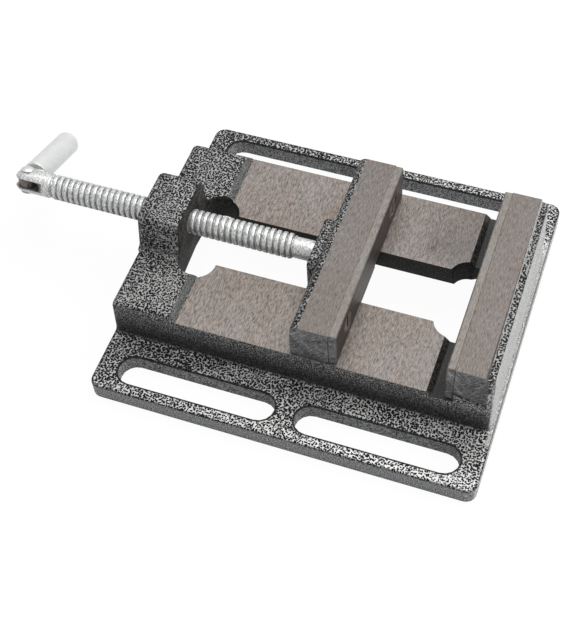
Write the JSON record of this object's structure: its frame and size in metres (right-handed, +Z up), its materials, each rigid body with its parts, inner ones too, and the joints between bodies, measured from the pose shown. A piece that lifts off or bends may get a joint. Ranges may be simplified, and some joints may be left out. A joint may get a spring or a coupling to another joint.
{
  "type": "drill press vise",
  "caption": "Flat cast-iron drill press vise with slotted flanges, a sliding jaw on a leadscrew and a folding handle.",
  "frame": {"origin": "centre of the bounding box in plan, on the plane of the base's underside", "axes": "+X along the leadscrew toward the fixed jaw, +Y toward the back, +Z up from the drill press table"},
  "size_m": [0.2579, 0.168, 0.0494],
  "materials": {
    "hammertone_enamel": "cast iron in hammertone enamel, ways and jaw top ground bare",
    "ground_cast_iron": "cast iron, top and ends ground, the rest in hammertone enamel",
    "ground_steel": "ground steel",
    "zinc_plated_steel": "bright zinc plating",
    "dark_steel": "dark oiled steel"
  },
  "bodies": {
    "base": {"base_casting": "hammertone_enamel", "fixed_jaw_plate": "ground_steel", "fixed_jaw_plate_screw_front": "zinc_plated_steel", "fixed_jaw_plate_screw_rear": "zinc_plated_steel"},
    "moving_jaw": {"moving_jaw_casting": "ground_cast_iron", "moving_jaw_plate": "ground_steel", "moving_jaw_plate_screw_front": "zinc_plated_steel", "moving_jaw_plate_screw_rear": "zinc_plated_steel", "keeper_plate": "dark_steel", "keeper_bolt_left": "zinc_plated_steel", "keeper_bolt_right": "zinc_plated_steel", "keeper_spring_washer_left": "zinc_plated_steel", "keeper_spring_washer_right": "zinc_plated_steel", "screw_retaining_pin_front": "dark_steel", "screw_retaining_pin_rear": "dark_steel"},
    "leadscrew": {"leadscrew": "zinc_plated_steel", "handle_rivet": "zinc_plated_steel"},
    "handle": {"handle": "zinc_plated_steel"}
  },
  "joints": [
    {"name": "jaw_slide", "type": "slide", "parent": "base", "child": "moving_jaw", "axis": [1, 0, 0], "range_m": [-0.0527, 0.0486]},
    {"name": "screw_turn", "type": "hinge", "parent": "moving_jaw", "child": "leadscrew", "pos_m": [-0.02, 0, 0.0363], "axis": [1, 0, 0], "range_deg": [-6326, 5833]},
    {"name": "handle_swing", "type": "hinge", "parent": "leadscrew", "child": "handle", "pos_m": [-0.1191, 0, 0.0363], "axis": [0, 0.4226, 0.9063], "range_deg": [-4.5, 175.5]}
  ],
  "couplings": [
    {"joint": "screw_turn", "follows": "jaw_slide", "rad_per_m": 2094.4}
  ]
}
